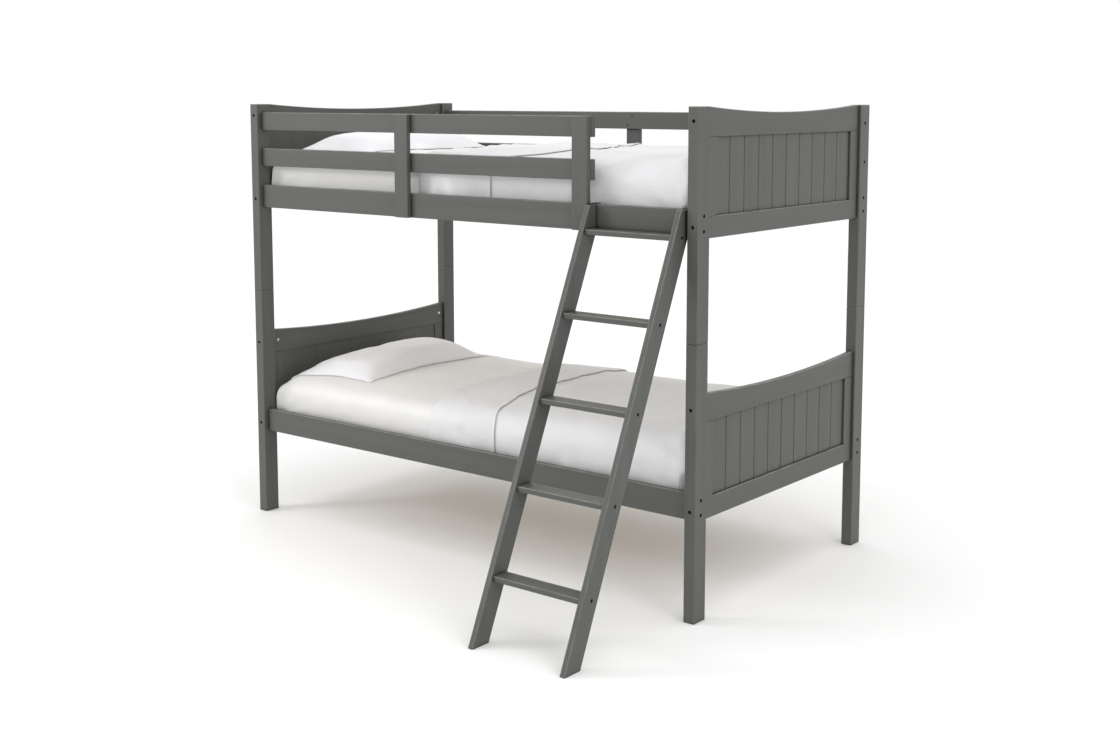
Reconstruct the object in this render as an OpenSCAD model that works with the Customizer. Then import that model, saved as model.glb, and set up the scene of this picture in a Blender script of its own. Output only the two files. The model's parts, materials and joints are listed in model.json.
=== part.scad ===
// Twin-over-twin bunk bed with a leaning ladder and two made-up beds.
// X runs from the head (-) to the foot (+), Y from the ladder side (-) to the wall side (+), Z is up.
// The origin is on the floor, under the middle of the box that holds the bed and its ladder.

/* [Overall] */
// Length over the posts
bed_length = 2020; // [2000:5:2100]
// Width over the posts
bed_width = 1080; // [1080:5:1200]
// Height to the top of the posts
bed_height = 1571; // [1571:1:1620]
// Height where the upper posts stand on the lower posts
stack_height = 863; // [820:1:900]

/* [Posts and edges] */
// Post size along the bed
post_x = 40; // [38:1:48]
// Post size across the bed
post_y = 62; // [58:1:66]
// Width of the eased edges on the painted wood
edge = 2; // [1:0.5:3]

/* [End panels] */
// Underside of the lower end panels
lower_panel_z = 312; // [250:1:340]
// Underside of the upper end panels
upper_panel_z = 1177; // [1150:1:1177]
// Height of an end panel at its posts
panel_height = 394; // [380:1:394]
// Height of an end panel's top rail at the posts
top_rail_height = 90; // [84:1:100]
// Height of an end panel's bottom rail
bottom_rail_height = 67; // [60:1:80]
// How far the top rail dips in the middle
dip = 20; // [10:1:30]
// Width of an end panel's stiles
stile_width = 52; // [45:1:70]
// Thickness of an end panel's frame
frame_thickness = 18; // [16:1:22]
// Number of planks in the beadboard
planks = 10; // [6:1:14]

/* [Rails] */
// Thickness of the side rails and guard rails
rail_thickness = 22; // [18:1:24]
// Height of a side rail
side_rail_height = 85; // [80:1:100]
// Height of a guard rail
guard_height = 66; // [60:1:70]
// Gap between the two guard rails
guard_gap = 69; // [50:1:75]
// Drop from the post tops to the top guard rail
guard_drop = 31; // [20:1:40]
// Width of the ladder's way in, beside the foot post
entry_width = 375; // [370:1:420]
// Width of the guard uprights
upright_width = 62; // [50:1:70]
// Middle of the front upright nearer the head
front_upright_x = -218; // [-300:1:-100]
// Middle of the rear upright
rear_upright_x = 6; // [-100:1:100]

/* [Slats] */
// Slats under each mattress
slat_count = 13; // [8:1:16]
// Width of a slat
slat_width = 68; // [50:1:80]
// Thickness of a slat
slat_thickness = 16; // [12:1:18]

/* [Ladder] */
// How far the ladder's feet stand out from the posts
ladder_reach = 572; // [560:1:600]
// Lean of the ladder from upright
lean = 23.75; // [22.5:0.25:24.5]
// Width over the stringers
ladder_width = 361; // [340:1:364]
// Thickness of a stringer
stringer_thickness = 19; // [18:1:24]
// Depth of a stringer across its length
stringer_depth = 67.5; // [60:0.5:70]
// Height from tread to tread
tread_pitch = 248.6; // [240:0.2:249]
// Top of the lowest tread
first_tread = 197; // [180:1:198]
// Depth of a tread from front to back
tread_depth = 60; // [50:1:60]
// Thickness of a tread
tread_thickness = 17; // [15:1:20]

/* [Bedding] */
// Length of a mattress
mattress_length = 1905; // [1850:5:1905]
// Width of a mattress
mattress_width = 976; // [940:1:976]
// Thickness of a mattress
mattress_height = 176; // [150:1:180]
// Thickness of the quilt on top of the mattress
quilt_thickness = 20; // [14:1:24]
// Head-side edge of the quilt, where it is folded back
quilt_start_x = -145; // [-300:5:0]
// Length of a pillow across the bed
pillow_length = 740; // [600:10:840]
// Width of a pillow along the bed
pillow_width = 400; // [360:5:440]
// Height of a pillow
pillow_height = 80; // [70:1:110]
// Middle of a pillow, measured towards the wall side
pillow_mid_y = -50; // [-60:5:60]

/* [Hidden] */
$fn = 48;

HEAD = -1;
FOOT = 1;
FRONT = -1;
REAR = 1;

paint = [0.42, 0.43, 0.41];
pine = [0.82, 0.70, 0.52];
steel = [0.72, 0.72, 0.72];
dark_steel = [0.25, 0.25, 0.26];
linen = [0.93, 0.92, 0.90];
quilt_white = [0.95, 0.95, 0.96];

// Overshoot of a cutter past the face it cuts
over = 1;

// Middle of the posts, and the faces that the rails and panels butt against
post_mid_x = bed_length / 2 - post_x / 2;
post_mid_y = bed_width / 2 - post_y / 2;
inside_x = bed_length / 2 - post_x;
inside_y = bed_width / 2 - post_y;
rail_inner_y = post_mid_y - rail_thickness / 2;
rail_outer_y = post_mid_y + rail_thickness / 2;

// Side rails sit a little above the undersides of the end panels
side_rail_rise = 5;
lower_rail_z = lower_panel_z + side_rail_rise;
upper_rail_z = upper_panel_z + side_rail_rise;
top_guard_z = bed_height - guard_drop - guard_height;
low_guard_z = top_guard_z - guard_gap - guard_height;
entry_x = inside_x - entry_width;

// Bolts: head recess, head, shank and their clearances
recess_depth = 8;
recess_radius = 6;
head_height = 3;
head_radius = 5.6;
bolt_radius = 3;
bolt_hole_radius = 3.2;
socket_radius = 2.3;
nut_radius = 5;
nut_middle = frame_thickness / 2;
nut_past_bolt = 5;
nut_length = nut_middle + nut_past_bolt;
nut_hole_radius = 3.05;
nut_slot = 1.2;
panel_nut_inset = 25;
rail_nut_inset = 35;
rail_nut_sink = rail_thickness / 2 - nut_middle;
nut_beyond = 8;
panel_bolt_length = post_y + panel_nut_inset + nut_beyond;
rail_bolt_length = post_x + rail_nut_inset + nut_beyond;

// Bolt heights above the underside of a panel, and above the underside of a side rail
panel_bolts = [37, 351];
rail_bolts = [19, 65];
lower_panel_bolts = [for (h = panel_bolts) lower_panel_z + h];
upper_panel_bolts = [for (h = panel_bolts) upper_panel_z + h];
lower_rail_bolts = [for (h = rail_bolts) lower_rail_z + h];
upper_rail_bolts = [for (h = rail_bolts) upper_rail_z + h];
guard_bolts = [low_guard_z + guard_height / 2, top_guard_z + guard_height / 2];

// Dowel pins between the posts, with running room in the upper posts
pin_radius = 6;
pin_half_length = 40;
pin_clearance = 0.3;

// Panel details: the board lies in a groove that runs round the frame
frame_out_x = post_mid_x + frame_thickness / 2;
frame_in_x = post_mid_x - frame_thickness / 2;
groove_depth = 6;
board_thickness = 6;
board_set_back = 8;
vee_width = 7;
vee_depth = 3.5;
flat_at_post = 8;
opening_half = inside_y - stile_width;
board_out_x = frame_out_x - board_set_back;

// Ledgers and slats
ledger_width = 22;
ledger_height = 20;
ledger_rise = 2;
ledger_half = 915;
ledger_past_slat = 15;
slat_end_gap = 3;
slat_edge = 1;
slat_span = 2 * (ledger_half - ledger_past_slat) - slat_width;

// Guard uprights and their screws, a slanted pair at each rail
upright_thickness = 20;
screw_radius = 2;
screw_head_radius = 4;
screw_head_depth = 3;
screw_length = 35;
screw_offset = [11.5, 18.5];
cross_width = 1.2;

// Ladder
entry_play = 4;
ladder_left_x = entry_x + entry_play;
ladder_right_x = ladder_left_x + ladder_width;
ladder_front_y = -bed_width / 2 - ladder_reach;
hook_play = 0.3;
cut_y = -rail_outer_y - hook_play;
upper_rail_top = upper_rail_z + side_rail_height;
stringer_top_drop = 3;
stringer_top_z = upper_rail_top - stringer_top_drop;
tread_inset = 7;
tread_bolt_length = 50;
tread_recess = 5;
hook_width = 16;
hook_thickness = 2.5;
hook_front_leg = 45;
hook_rear_leg = 30;

// Bedding
quilt_side = 5;
quilt_foot = 22;
quilt_tuck = 20;
soft_edge = 26;
pillow_edge = 34;
mattress_head_gap = 4;
mattress_head_x = mattress_head_gap - frame_in_x;
mattress_foot_x = mattress_head_x + mattress_length;
pillow_head_gap = 16;
bed_rise = ledger_rise + ledger_height + slat_thickness;
lower_bed_z = lower_rail_z + bed_rise;
upper_bed_z = upper_rail_z + bed_rise;

// Moves the bed so that the bed and ladder together are centred on the origin
module in_place() {
    translate([0, ladder_reach / 2, 0]) children();
}

// ---- Shapes that repeat ----

module chamfered_rect(width, height, ease) {
    polygon([
        [ease, 0], [width - ease, 0], [width, ease], [width, height - ease],
        [width - ease, height], [ease, height], [0, height - ease], [0, ease]
    ]);
}

module prism_x(size, ease) {
    rotate([90, 0, 90]) linear_extrude(size.x) chamfered_rect(size.y, size.z, ease);
}

module prism_y(size, ease) {
    translate([0, size.y, 0])
        rotate([90, 0, 0]) linear_extrude(size.y) chamfered_rect(size.x, size.z, ease);
}

module prism_z(size, ease) {
    linear_extrude(size.z) chamfered_rect(size.x, size.y, ease);
}

// Board between two corners, with its four long edges eased; along is 0, 1 or 2 for X, Y or Z
module board(low, high, along, ease = edge) {
    size = high - low;
    translate(low) {
        if (along == 0) prism_x(size, ease);
        if (along == 1) prism_y(size, ease);
        if (along == 2) prism_z(size, ease);
    }
}

// Block between two corners, with all twelve edges eased
module block(low, high, ease = edge) {
    size = high - low;
    translate(low) intersection() {
        prism_x(size, ease);
        prism_y(size, ease);
        prism_z(size, ease);
    }
}

// ---- Fasteners, all drawn along +Z from the face they enter ----

module bolt(length, recess = recess_depth) {
    difference() {
        union() {
            translate([0, 0, recess - head_height]) cylinder(h = head_height, r = head_radius);
            translate([0, 0, recess]) cylinder(h = length - recess, r = bolt_radius);
        }
        translate([0, 0, recess - head_height - over])
            cylinder(h = head_height, r = socket_radius, $fn = 6);
    }
}

module bolt_hole(length, recess = recess_depth) {
    translate([0, 0, -over]) cylinder(h = recess + over, r = recess_radius);
    cylinder(h = length + over, r = bolt_hole_radius);
}

// Barrel nut with its bolt hole across it, entered from the face at z = 0
module barrel_nut() {
    difference() {
        cylinder(h = nut_length, r = nut_radius);
        translate([0, 0, nut_middle]) rotate([0, 90, 0])
            cylinder(h = 3 * nut_radius, r = nut_hole_radius, center = true);
        cube([nut_slot, 3 * nut_radius, nut_slot], center = true);
    }
}

module nut_hole() {
    translate([0, 0, -over]) cylinder(h = nut_length + over, r = nut_radius);
}

// Places children at the panel bolts' mouths, in the outer front and rear faces of the posts
module at_panel_bolts(heights, ends = [HEAD, FOOT], sides = [FRONT, REAR]) {
    for (end = ends, side = sides, z = heights)
        translate([end * post_mid_x, side * bed_width / 2, z]) rotate([side * 90, 0, 0]) children();
}

// Places children at the panel nuts' mouths, in the mattress-side faces of the panels
module at_panel_nuts(heights, ends = [HEAD, FOOT], sides = [FRONT, REAR]) {
    for (end = ends, side = sides, z = heights)
        translate([
            end * frame_in_x,
            side * (inside_y - panel_nut_inset),
            z
        ]) rotate([0, end * 90, 0]) rotate([0, 0, 90]) children();
}

// Places children at the rail bolts' mouths, in the outer end faces of the posts
module at_rail_bolts(heights, ends = [HEAD, FOOT], sides = [FRONT, REAR]) {
    for (end = ends, side = sides, z = heights)
        translate([end * bed_length / 2, side * post_mid_y, z]) rotate([0, -end * 90, 0]) children();
}

// Places children at the rail nuts' mouths, in the inner faces of the rails
module at_rail_nuts(heights, ends = [HEAD, FOOT], sides = [FRONT, REAR]) {
    for (end = ends, side = sides, z = heights)
        translate([end * (inside_x - rail_nut_inset), side * rail_inner_y, z])
            rotate([-side * 90, 0, 0]) children();
}

module rail_nut() {
    translate([0, 0, rail_nut_sink]) barrel_nut();
}

module rail_nut_hole() {
    translate([0, 0, -over]) cylinder(h = rail_nut_sink + nut_length + over, r = nut_radius);
}

// ---- Posts ----

module post(end, side, low_z, high_z, panel_heights, rail_heights) {
    color(paint) in_place() difference() {
        block(
            [end * post_mid_x - post_x / 2, side * post_mid_y - post_y / 2, low_z],
            [end * post_mid_x + post_x / 2, side * post_mid_y + post_y / 2, high_z]
        );
        at_panel_bolts(panel_heights, [end], [side]) bolt_hole(panel_bolt_length);
        at_rail_bolts(rail_heights, [end], [side]) bolt_hole(rail_bolt_length);
        translate([end * post_mid_x, side * post_mid_y, stack_height])
            pin_hole(low_z == 0 ? 0 : pin_clearance);
    }
}

module pin_hole(clearance) {
    cylinder(h = 2 * (pin_half_length + clearance), r = pin_radius + clearance, center = true);
}

module lower_post(end, side) {
    post(end, side, 0, stack_height, lower_panel_bolts, lower_rail_bolts);
}

// The front foot post carries no guard rails, because the ladder's way in is beside it
module upper_post(end, side) {
    guards = end == FOOT && side == FRONT ? [] : guard_bolts;
    post(end, side, stack_height, bed_height, upper_panel_bolts, concat(upper_rail_bolts, guards));
}

module lower_post_head_front() { lower_post(HEAD, FRONT); }
module lower_post_head_rear() { lower_post(HEAD, REAR); }
module lower_post_foot_front() { lower_post(FOOT, FRONT); }
module lower_post_foot_rear() { lower_post(FOOT, REAR); }
module upper_post_head_front() { upper_post(HEAD, FRONT); }
module upper_post_head_rear() { upper_post(HEAD, REAR); }
module upper_post_foot_front() { upper_post(FOOT, FRONT); }
module upper_post_foot_rear() { upper_post(FOOT, REAR); }

module stacking_pins() {
    color(steel) in_place()
        for (end = [HEAD, FOOT], side = [FRONT, REAR])
            translate([end * post_mid_x, side * post_mid_y, stack_height])
                cylinder(h = 2 * pin_half_length, r = pin_radius, center = true);
}

// ---- End panels, drawn at the foot end and mirrored for the head end ----

module at_end(end) {
    if (end == FOOT) children();
    if (end == HEAD) mirror([1, 0, 0]) children();
}

// Disc with flared rims that cuts the dip and eases its two edges
module dip_cutter(top_z) {
    half_chord = inside_y - flat_at_post;
    radius = (half_chord * half_chord + dip * dip) / (2 * dip);
    half = frame_thickness / 2;
    translate([post_mid_x, 0, top_z - dip + radius]) rotate([0, 90, 0])
        rotate_extrude($fn = 1440) polygon([
            [0, -half - over], [radius + edge + over, -half - over], [radius, -half + edge],
            [radius, half - edge], [radius + edge + over, half + over], [0, half + over]
        ]);
}

// The slot round the opening that holds the beadboard
module board_slot(panel_z) {
    translate([
        board_out_x - board_thickness,
        -opening_half - groove_depth,
        panel_z + bottom_rail_height - groove_depth
    ]) cube([
        board_thickness,
        2 * (opening_half + groove_depth),
        panel_height - bottom_rail_height - top_rail_height + 2 * groove_depth
    ]);
}

module panel_holes(heights) {
    at_panel_bolts(heights, [FOOT]) bolt_hole(panel_bolt_length);
    at_panel_nuts(heights, [FOOT]) nut_hole();
}

module top_rail(end, panel_z) {
    top_z = panel_z + panel_height;
    color(paint) in_place() at_end(end) difference() {
        board([frame_in_x, -inside_y, top_z - top_rail_height], [frame_out_x, inside_y, top_z], 1);
        dip_cutter(top_z);
        board_slot(panel_z);
        panel_holes([panel_z + panel_bolts[1]]);
    }
}

module bottom_rail(end, panel_z) {
    color(paint) in_place() at_end(end) difference() {
        board([frame_in_x, -inside_y, panel_z], [frame_out_x, inside_y, panel_z + bottom_rail_height], 1);
        board_slot(panel_z);
        panel_holes([panel_z + panel_bolts[0]]);
    }
}

module stiles(end, panel_z) {
    low_z = panel_z + bottom_rail_height;
    high_z = panel_z + panel_height - top_rail_height;
    color(paint) in_place() at_end(end) difference() {
        for (low_y = [-inside_y, opening_half])
            board([frame_in_x, low_y, low_z], [frame_out_x, low_y + stile_width, high_z], 2);
        board_slot(panel_z);
    }
}

// Beadboard: a thin panel with a V-groove between planks on its outer face
module beadboard(end, panel_z) {
    plank = 2 * opening_half / planks;
    half = opening_half + groove_depth;
    vees = [for (i = [1 : planks - 1], j = [-1, 0, 1])
        [board_out_x - (j == 0 ? vee_depth : 0), -opening_half + i * plank + j * vee_width / 2]];
    height = panel_height - bottom_rail_height - top_rail_height + 2 * groove_depth;
    color(paint) in_place() at_end(end)
        translate([0, 0, panel_z + bottom_rail_height - groove_depth]) linear_extrude(height)
            polygon(concat(
                [[board_out_x, -half]], vees, [[board_out_x, half]],
                [[board_out_x - board_thickness, half], [board_out_x - board_thickness, -half]]
            ));
}

module lower_head_top_rail() { top_rail(HEAD, lower_panel_z); }
module lower_head_bottom_rail() { bottom_rail(HEAD, lower_panel_z); }
module lower_head_stiles() { stiles(HEAD, lower_panel_z); }
module lower_head_beadboard() { beadboard(HEAD, lower_panel_z); }
module lower_foot_top_rail() { top_rail(FOOT, lower_panel_z); }
module lower_foot_bottom_rail() { bottom_rail(FOOT, lower_panel_z); }
module lower_foot_stiles() { stiles(FOOT, lower_panel_z); }
module lower_foot_beadboard() { beadboard(FOOT, lower_panel_z); }
module upper_head_top_rail() { top_rail(HEAD, upper_panel_z); }
module upper_head_bottom_rail() { bottom_rail(HEAD, upper_panel_z); }
module upper_head_stiles() { stiles(HEAD, upper_panel_z); }
module upper_head_beadboard() { beadboard(HEAD, upper_panel_z); }
module upper_foot_top_rail() { top_rail(FOOT, upper_panel_z); }
module upper_foot_bottom_rail() { bottom_rail(FOOT, upper_panel_z); }
module upper_foot_stiles() { stiles(FOOT, upper_panel_z); }
module upper_foot_beadboard() { beadboard(FOOT, upper_panel_z); }

// ---- Side rails, ledgers and slats ----

// Lowest and highest Y of a rail on either side
function rail_y(side) = side == FRONT ? [-rail_outer_y, -rail_inner_y] : [rail_inner_y, rail_outer_y];

// Rail from the head posts to high_x, bolted at the ends listed
module rail(side, low_z, height, high_x, bolt_heights, bolt_ends) {
    y = rail_y(side);
    color(paint) in_place() difference() {
        board([-inside_x, y[0], low_z], [high_x, y[1], low_z + height], 0);
        at_rail_bolts(bolt_heights, bolt_ends, [side]) bolt_hole(rail_bolt_length);
        at_rail_nuts(bolt_heights, bolt_ends, [side]) rail_nut_hole();
        at_upright_screws(side) screw_hole();
    }
}

module side_rail(side, low_z, bolt_heights) {
    rail(side, low_z, side_rail_height, inside_x, bolt_heights, [HEAD, FOOT]);
}

module ledgers(rail_z) {
    low_z = rail_z + ledger_rise;
    color(pine) in_place() for (low_y = [-rail_inner_y, rail_inner_y - ledger_width])
        board(
            [-ledger_half, low_y, low_z],
            [ledger_half, low_y + ledger_width, low_z + ledger_height],
            0, slat_edge
        );
}

module slats(rail_z) {
    low_z = rail_z + ledger_rise + ledger_height;
    half = rail_inner_y - slat_end_gap;
    color(pine) in_place() for (i = [0 : slat_count - 1]) {
        x = slat_span * (i / (slat_count - 1) - 0.5);
        board(
            [x - slat_width / 2, -half, low_z],
            [x + slat_width / 2, half, low_z + slat_thickness],
            1, slat_edge
        );
    }
}

module lower_side_rail_front() { side_rail(FRONT, lower_rail_z, lower_rail_bolts); }
module lower_side_rail_rear() { side_rail(REAR, lower_rail_z, lower_rail_bolts); }
module upper_side_rail_front() { side_rail(FRONT, upper_rail_z, upper_rail_bolts); }
module upper_side_rail_rear() { side_rail(REAR, upper_rail_z, upper_rail_bolts); }
module lower_ledgers() { ledgers(lower_rail_z); }
module upper_ledgers() { ledgers(upper_rail_z); }
module lower_slats() { slats(lower_rail_z); }
module upper_slats() { slats(upper_rail_z); }

// ---- Guard rails and uprights ----

// Middles of the uprights on each side
entry_upright_x = entry_x - upright_width / 2;
function upright_middles(side) = side == FRONT ? [front_upright_x, entry_upright_x] : [rear_upright_x];
screw_rails = [upper_rail_z + side_rail_height / 2, guard_bolts[0], guard_bolts[1]];

// Places children at the screw heads, in the inner faces of the rails
module at_upright_screws(side) {
    for (x = upright_middles(side), z = screw_rails, slant = [-1, 1])
        translate([x + slant * screw_offset.x, side * rail_inner_y, z + slant * screw_offset.y])
            rotate([-side * 90, 0, 0]) children();
}

module screw() {
    difference() {
        union() {
            cylinder(h = screw_head_depth, r1 = screw_head_radius, r2 = screw_radius);
            cylinder(h = screw_length, r = screw_radius);
        }
        cube([screw_head_radius, cross_width, screw_head_depth], center = true);
        cube([cross_width, screw_head_radius, screw_head_depth], center = true);
    }
}

module screw_hole() {
    cylinder(h = screw_head_depth, r1 = screw_head_radius, r2 = screw_radius);
    translate([0, 0, -over]) cylinder(h = screw_length + over, r = screw_radius);
}

module upright(side, middle_x) {
    low_y = side == FRONT ? -rail_outer_y - upright_thickness : rail_outer_y;
    color(paint) in_place() difference() {
        block(
            [middle_x - upright_width / 2, low_y, upper_rail_z],
            [middle_x + upright_width / 2, low_y + upright_thickness, top_guard_z + guard_height]
        );
        at_upright_screws(side) screw_hole();
    }
}

// Front guard rails run from the head post to the ladder's way in
module front_guard(low_z, bolt_z) {
    rail(FRONT, low_z, guard_height, entry_x, [bolt_z], [HEAD]);
}

module rear_guard(low_z, bolt_z) {
    rail(REAR, low_z, guard_height, inside_x, [bolt_z], [HEAD, FOOT]);
}

module front_guard_rail_low() { front_guard(low_guard_z, guard_bolts[0]); }
module front_guard_rail_top() { front_guard(top_guard_z, guard_bolts[1]); }
module rear_guard_rail_low() { rear_guard(low_guard_z, guard_bolts[0]); }
module rear_guard_rail_top() { rear_guard(top_guard_z, guard_bolts[1]); }
module front_upright_head() { upright(FRONT, front_upright_x); }
module front_upright_entry() { upright(FRONT, entry_upright_x); }
module rear_upright() { upright(REAR, rear_upright_x); }

module guard_screws() {
    color(dark_steel) in_place() for (side = [FRONT, REAR]) at_upright_screws(side) screw();
}

// ---- Bolts and barrel nuts of each bunk ----

module lower_bolts() {
    color(dark_steel) in_place() {
        at_panel_bolts(lower_panel_bolts) bolt(panel_bolt_length);
        at_rail_bolts(lower_rail_bolts) bolt(rail_bolt_length);
    }
}

module lower_barrel_nuts() {
    color(steel) in_place() {
        at_panel_nuts(lower_panel_bolts) barrel_nut();
        at_rail_nuts(lower_rail_bolts) rail_nut();
    }
}

module upper_bolts() {
    color(dark_steel) in_place() {
        at_panel_bolts(upper_panel_bolts) bolt(panel_bolt_length);
        at_rail_bolts(upper_rail_bolts) bolt(rail_bolt_length);
        at_rail_bolts(guard_bolts, [HEAD]) bolt(rail_bolt_length);
        at_rail_bolts(guard_bolts, [FOOT], [REAR]) bolt(rail_bolt_length);
    }
}

module upper_barrel_nuts() {
    color(steel) in_place() {
        at_panel_nuts(upper_panel_bolts) barrel_nut();
        at_rail_nuts(upper_rail_bolts) rail_nut();
        at_rail_nuts(guard_bolts, [HEAD]) rail_nut();
        at_rail_nuts(guard_bolts, [FOOT], [REAR]) rail_nut();
    }
}

// ---- Ladder ----

function stringer_front_y(z) = ladder_front_y + z * tan(lean);
function tread_top(i) = first_tread + i * tread_pitch;
function tread_front_y(i) = stringer_front_y(tread_top(i)) + tread_inset;
function tread_back_y(i) = min(tread_front_y(i) + tread_depth, cut_y);
function tread_mid_y(i) = (tread_front_y(i) + tread_back_y(i)) / 2;
treads = [0 : 4];

module leaning_board(low_x) {
    below = 100;
    length = bed_height + 2 * below;
    translate([low_x, ladder_front_y, 0]) rotate([-lean, 0, 0]) translate([0, 0, -below])
        linear_extrude(length) chamfered_rect(stringer_thickness, stringer_depth, edge);
}

// Places children at the tread bolts' mouths, in the stringers' outer faces
module at_tread_bolts(sides) {
    for (side = sides, i = treads)
        translate([
            side < 0 ? ladder_left_x : ladder_right_x,
            tread_mid_y(i),
            tread_top(i) - tread_thickness / 2
        ]) rotate([0, -side * 90, 0]) children();
}

// Stringer cut level at the floor and at the top, and upright where it leans on the rail
module stringer(side) {
    low_x = side < 0 ? ladder_left_x : ladder_right_x - stringer_thickness;
    mid_x = low_x + stringer_thickness / 2;
    color(paint) in_place() difference() {
        intersection() {
            leaning_board(low_x);
            translate([low_x - over, ladder_front_y - over, 0])
                cube([stringer_thickness + 2 * over, cut_y - ladder_front_y + over, stringer_top_z]);
        }
        at_tread_bolts([side]) bolt_hole(tread_bolt_length, tread_recess);
        translate([mid_x - hook_width / 2, cut_y - hook_thickness, hook_low_z])
            cube([hook_width, hook_thickness + over, hook_front_leg + over]);
    }
}

module tread(i) {
    color(paint) in_place() difference() {
        board(
            [ladder_left_x + stringer_thickness, tread_front_y(i), tread_top(i) - tread_thickness],
            [ladder_right_x - stringer_thickness, tread_back_y(i), tread_top(i)],
            0
        );
        at_tread_bolts([-1, 1]) bolt_hole(tread_bolt_length, tread_recess);
    }
}

// Steel strap that is let into the stringer's back, passes over the rail and drops behind it
hook_top_z = upper_rail_top + hook_play + hook_thickness;
hook_low_z = hook_top_z - hook_front_leg;
hook_back_y = -rail_inner_y + hook_play + hook_thickness;
strap_under_z = hook_top_z - hook_thickness;
rear_leg_y = hook_back_y - hook_thickness;
rear_leg_z = hook_top_z - hook_rear_leg;

module ladder_hook(mid_x) {
    front_y = cut_y - hook_thickness;
    translate([mid_x - hook_width / 2, 0, 0]) rotate([90, 0, 90]) linear_extrude(hook_width)
        polygon([
            [front_y, hook_low_z], [cut_y, hook_low_z],
            [cut_y, strap_under_z], [rear_leg_y, strap_under_z],
            [rear_leg_y, rear_leg_z], [hook_back_y, rear_leg_z],
            [hook_back_y, hook_top_z], [front_y, hook_top_z]
        ]);
}

module ladder_stringer_left() { stringer(-1); }
module ladder_stringer_right() { stringer(1); }
module ladder_tread_1() { tread(0); }
module ladder_tread_2() { tread(1); }
module ladder_tread_3() { tread(2); }
module ladder_tread_4() { tread(3); }
module ladder_tread_5() { tread(4); }

module ladder_bolts() {
    color(dark_steel) in_place() at_tread_bolts([-1, 1]) bolt(tread_bolt_length, tread_recess);
}

module ladder_hooks() {
    color(dark_steel) in_place() {
        ladder_hook(ladder_left_x + stringer_thickness / 2);
        ladder_hook(ladder_right_x - stringer_thickness / 2);
    }
}

// ---- Bedding ----

module mattress_shape(bed_z) {
    block(
        [mattress_head_x, -mattress_width / 2, bed_z],
        [mattress_foot_x, mattress_width / 2, bed_z + mattress_height],
        soft_edge
    );
}

module mattress(bed_z) {
    color(linen) in_place() mattress_shape(bed_z);
}

// Quilt: lies on the mattress from its fold to the foot end and is tucked in behind the rails
module quilt(bed_z) {
    skirt_z = bed_z - bed_rise + side_rail_height - quilt_tuck;
    color(quilt_white) in_place() difference() {
        intersection() {
            block(
                [mattress_head_x, -mattress_width / 2 - quilt_side, skirt_z - soft_edge],
                [
                    mattress_foot_x + quilt_foot,
                    mattress_width / 2 + quilt_side,
                    bed_z + mattress_height + quilt_thickness
                ],
                soft_edge
            );
            translate([quilt_start_x, -bed_width / 2, skirt_z]) cube([bed_length, bed_width, bed_height]);
        }
        mattress_shape(bed_z);
    }
}

module pillow(bed_z) {
    low_x = mattress_head_x + pillow_head_gap;
    low_z = bed_z + mattress_height;
    color(quilt_white) in_place() block(
        [low_x, pillow_mid_y - pillow_length / 2, low_z],
        [low_x + pillow_width, pillow_mid_y + pillow_length / 2, low_z + pillow_height],
        pillow_edge
    );
}

module lower_mattress() { mattress(lower_bed_z); }
module lower_quilt() { quilt(lower_bed_z); }
module lower_pillow() { pillow(lower_bed_z); }
module upper_mattress() { mattress(upper_bed_z); }
module upper_quilt() { quilt(upper_bed_z); }
module upper_pillow() { pillow(upper_bed_z); }

lower_post_head_front();
lower_post_head_rear();
lower_post_foot_front();
lower_post_foot_rear();
lower_head_top_rail();
lower_head_bottom_rail();
lower_head_stiles();
lower_head_beadboard();
lower_foot_top_rail();
lower_foot_bottom_rail();
lower_foot_stiles();
lower_foot_beadboard();
lower_side_rail_front();
lower_side_rail_rear();
lower_ledgers();
lower_slats();
lower_bolts();
lower_barrel_nuts();
stacking_pins();
upper_post_head_front();
upper_post_head_rear();
upper_post_foot_front();
upper_post_foot_rear();
upper_head_top_rail();
upper_head_bottom_rail();
upper_head_stiles();
upper_head_beadboard();
upper_foot_top_rail();
upper_foot_bottom_rail();
upper_foot_stiles();
upper_foot_beadboard();
upper_side_rail_front();
upper_side_rail_rear();
upper_ledgers();
upper_slats();
front_guard_rail_low();
front_guard_rail_top();
rear_guard_rail_low();
rear_guard_rail_top();
front_upright_head();
front_upright_entry();
rear_upright();
upper_bolts();
upper_barrel_nuts();
guard_screws();
ladder_stringer_left();
ladder_stringer_right();
ladder_tread_1();
ladder_tread_2();
ladder_tread_3();
ladder_tread_4();
ladder_tread_5();
ladder_bolts();
ladder_hooks();
lower_mattress();
lower_quilt();
lower_pillow();
upper_mattress();
upper_quilt();
upper_pillow();
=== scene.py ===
"""Bunk bed with ladder: painted wood, pine slats, steel fasteners and made-up beds, in a pale studio."""

import json
import math
from types import SimpleNamespace

import bpy
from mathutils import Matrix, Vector, noise
from mathutils.bvhtree import BVHTree


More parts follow.
